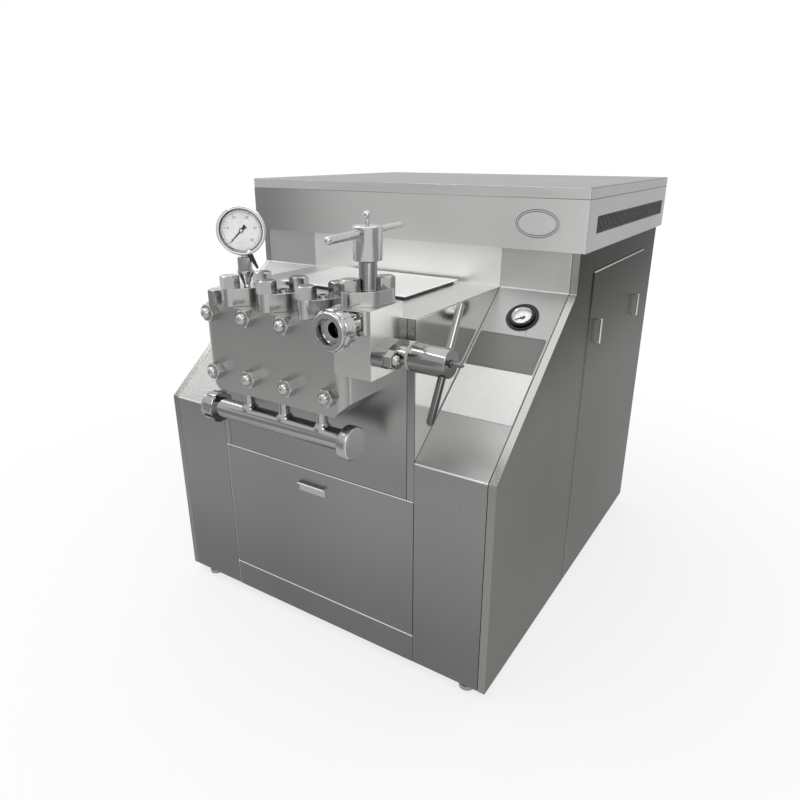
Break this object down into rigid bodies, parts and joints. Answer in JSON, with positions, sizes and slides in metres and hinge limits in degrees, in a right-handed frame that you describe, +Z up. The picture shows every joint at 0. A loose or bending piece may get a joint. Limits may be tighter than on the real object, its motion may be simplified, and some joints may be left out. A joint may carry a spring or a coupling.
{
  "type": "dairy homogenizer",
  "caption": "Stainless cabinet with a sloped console carrying a triplex plunger pump head, two hand-set homogenizing valves, inlet manifold, discharge pipe and gauges.",
  "frame": {"origin": "middle of the bounding box on the floor, under the feet", "axes": "+X to the operator's right, +Y from the pump head at the front to the rear panel, +Z up"},
  "size_m": [1.036, 1.377, 1.152],
  "materials": {
    "panel": "brushed stainless sheet",
    "vent": "dark slotted plate",
    "machined": "milled stainless steel",
    "polished": "turned and polished stainless steel",
    "casting": "painted casting",
    "belt": "rubber belt",
    "dial": "white printed dial",
    "plate": "bare plate",
    "needle": "black needle",
    "glass": "clear window",
    "nylon": "cream nylon"
  },
  "bodies": {
    "machine": {"base_plate": "panel", "left_side_panel": "panel", "right_side_panel": "panel", "pillar_fascias": "panel", "head_panel": "panel", "deck": "panel", "cheeks": "panel", "tower_wall": "panel", "plinth": "panel", "top_band": "panel", "rear_panel": "panel", "vent_meshes": "vent", "pump_block": "machined", "valve_covers": "machined", "valve_block": "machined", "first_stage_bonnet": "machined", "second_stage_bonnet": "machined", "feet": "machined", "valve_inserts": "machined", "packing_glands": "machined", "cover_nuts": "polished", "head_bolts": "polished", "block_plugs": "polished", "gauge_stem": "polished", "gauge_case": "polished", "valve_fasteners": "polished", "discharge_pipe": "polished", "inlet_manifold": "polished", "panel_gauge": "polished", "crank_bearings": "polished", "power_frame": "casting", "motor_housing": "casting", "drive_belts": "belt", "gauge_dial": "dial", "name_plates": "plate", "gauge_glass": "glass"},
    "door": {"front_door": "panel"},
    "left_access": {"left_access_panel": "panel"},
    "right_access": {"right_access_panel": "panel"},
    "top_lid": {"lid": "panel"},
    "deck_lid": {"deck_cover": "panel"},
    "first_rod": {"first_stage_rod": "polished"},
    "first_handle": {"first_stage_handle": "polished"},
    "second_rod": {"second_stage_rod": "polished"},
    "second_handle": {"second_stage_handle": "polished", "thrust_ring": "nylon"},
    "outlet_nut": {"discharge_nut": "polished"},
    "intake_nut": {"inlet_nut": "polished"},
    "intake_cap": {"inlet_cap": "polished"},
    "pressure_needle": {"gauge_needle": "needle"},
    "panel_needle": {"panel_gauge_needle": "needle"},
    "crank": {"crankshaft": "polished", "drive_pulley": "casting"},
    "rotor": {"motor_rotor": "casting"},
    "rod_1": {"connecting_rod_1": "polished"},
    "rod_2": {"connecting_rod_2": "polished"},
    "rod_3": {"connecting_rod_3": "polished"},
    "ram_1": {"plunger_1": "polished"},
    "ram_2": {"plunger_2": "polished"},
    "ram_3": {"plunger_3": "polished"}
  },
  "joints": [
    {"name": "door_lift_off", "type": "slide", "parent": "machine", "child": "door", "axis": [0, -1, 0], "range_m": [0, 0.15]},
    {"name": "left_access_lift_off", "type": "slide", "parent": "machine", "child": "left_access", "axis": [-1, 0, 0], "range_m": [0, 0.15]},
    {"name": "right_access_lift_off", "type": "slide", "parent": "machine", "child": "right_access", "axis": [1, 0, 0], "range_m": [0, 0.15]},
    {"name": "lid_lift_off", "type": "slide", "parent": "machine", "child": "top_lid", "axis": [0, 0, 1], "range_m": [0, 0.2]},
    {"name": "deck_cover_lift_off", "type": "slide", "parent": "machine", "child": "deck_lid", "axis": [0, 0, 1], "range_m": [0, 0.08]},
    {"name": "first_stage_travel", "type": "slide", "parent": "machine", "child": "first_rod", "axis": [0, 0, -1], "range_m": [0, 0.006]},
    {"name": "first_stage_turn", "type": "hinge", "parent": "first_rod", "child": "first_handle", "pos_m": [0.227, -0.5365, 1.028], "axis": [0, 0, -1], "range_deg": [0, 700]},
    {"name": "second_stage_travel", "type": "slide", "parent": "machine", "child": "second_rod", "axis": [-1, 0, 0], "range_m": [0, 0.006]},
    {"name": "second_stage_turn", "type": "hinge", "parent": "second_rod", "child": "second_handle", "pos_m": [0.336, -0.5365, 0.848], "axis": [-1, 0, 0], "range_deg": [0, 700]},
    {"name": "outlet_nut_turn", "type": "hinge", "parent": "machine", "child": "outlet_nut", "pos_m": [0.241, -0.6695, 0.918], "axis": [0, -1, 0], "continuous": true},
    {"name": "intake_nut_turn", "type": "hinge", "parent": "machine", "child": "intake_nut", "pos_m": [-0.227, -0.5585, 0.635], "axis": [-1, 0, 0], "continuous": true},
    {"name": "intake_cap_turn", "type": "hinge", "parent": "machine", "child": "intake_cap", "pos_m": [0.188, -0.5585, 0.635], "axis": [1, 0, 0], "continuous": true},
    {"name": "pressure_needle_turn", "type": "hinge", "parent": "machine", "child": "pressure_needle", "pos_m": [-0.11, -0.5365, 1.066], "axis": [-0.6157, 0.788, 0], "range_deg": [0, 270], "stiffness_Nm_per_rad": 0.01},
    {"name": "panel_needle_turn", "type": "hinge", "parent": "machine", "child": "panel_needle", "pos_m": [0.3935, -0.13452, 0.85375], "axis": [0, 0.6235, -0.7818], "range_deg": [0, 240], "stiffness_Nm_per_rad": 0.01},
    {"name": "crank_turn", "type": "hinge", "parent": "machine", "child": "crank", "pos_m": [0, 0.1235, 0.803], "axis": [1, 0, 0], "continuous": true},
    {"name": "rotor_turn", "type": "hinge", "parent": "machine", "child": "rotor", "pos_m": [0, 0.4235, 0.2], "axis": [1, 0, 0], "continuous": true},
    {"name": "rod_1_swing", "type": "hinge", "parent": "crank", "child": "rod_1", "pos_m": [-0.11, 0.0985, 0.803], "axis": [1, 0, 0], "continuous": true},
    {"name": "rod_2_swing", "type": "hinge", "parent": "crank", "child": "rod_2", "pos_m": [0, 0.136, 0.82465], "axis": [1, 0, 0], "continuous": true},
    {"name": "rod_3_swing", "type": "hinge", "parent": "crank", "child": "rod_3", "pos_m": [0.11, 0.136, 0.78135], "axis": [1, 0, 0], "continuous": true},
    {"name": "ram_1_stroke", "type": "slide", "parent": "machine", "child": "ram_1", "axis": [0, 1, 0], "range_m": [0, 0.05]},
    {"name": "ram_2_stroke", "type": "slide", "parent": "machine", "child": "ram_2", "axis": [0, 1, 0], "range_m": [-0.03874, 0.01126]},
    {"name": "ram_3_stroke", "type": "slide", "parent": "machine", "child": "ram_3", "axis": [0, 1, 0], "range_m": [-0.03874, 0.01126]}
  ],
  "couplings": [
    {"joint": "first_stage_travel", "follows": "first_stage_turn", "m_per_rad": 0.00047746},
    {"joint": "second_stage_travel", "follows": "second_stage_turn", "m_per_rad": 0.00047746},
    {"joint": "rotor_turn", "follows": "crank_turn", "ratio": 3.243},
    {"joint": "rod_1_swing", "follows": "crank_turn", "ratio": -1},
    {"joint": "rod_2_swing", "follows": "crank_turn", "ratio": -1},
    {"joint": "rod_3_swing", "follows": "crank_turn", "ratio": -1}
  ]
}
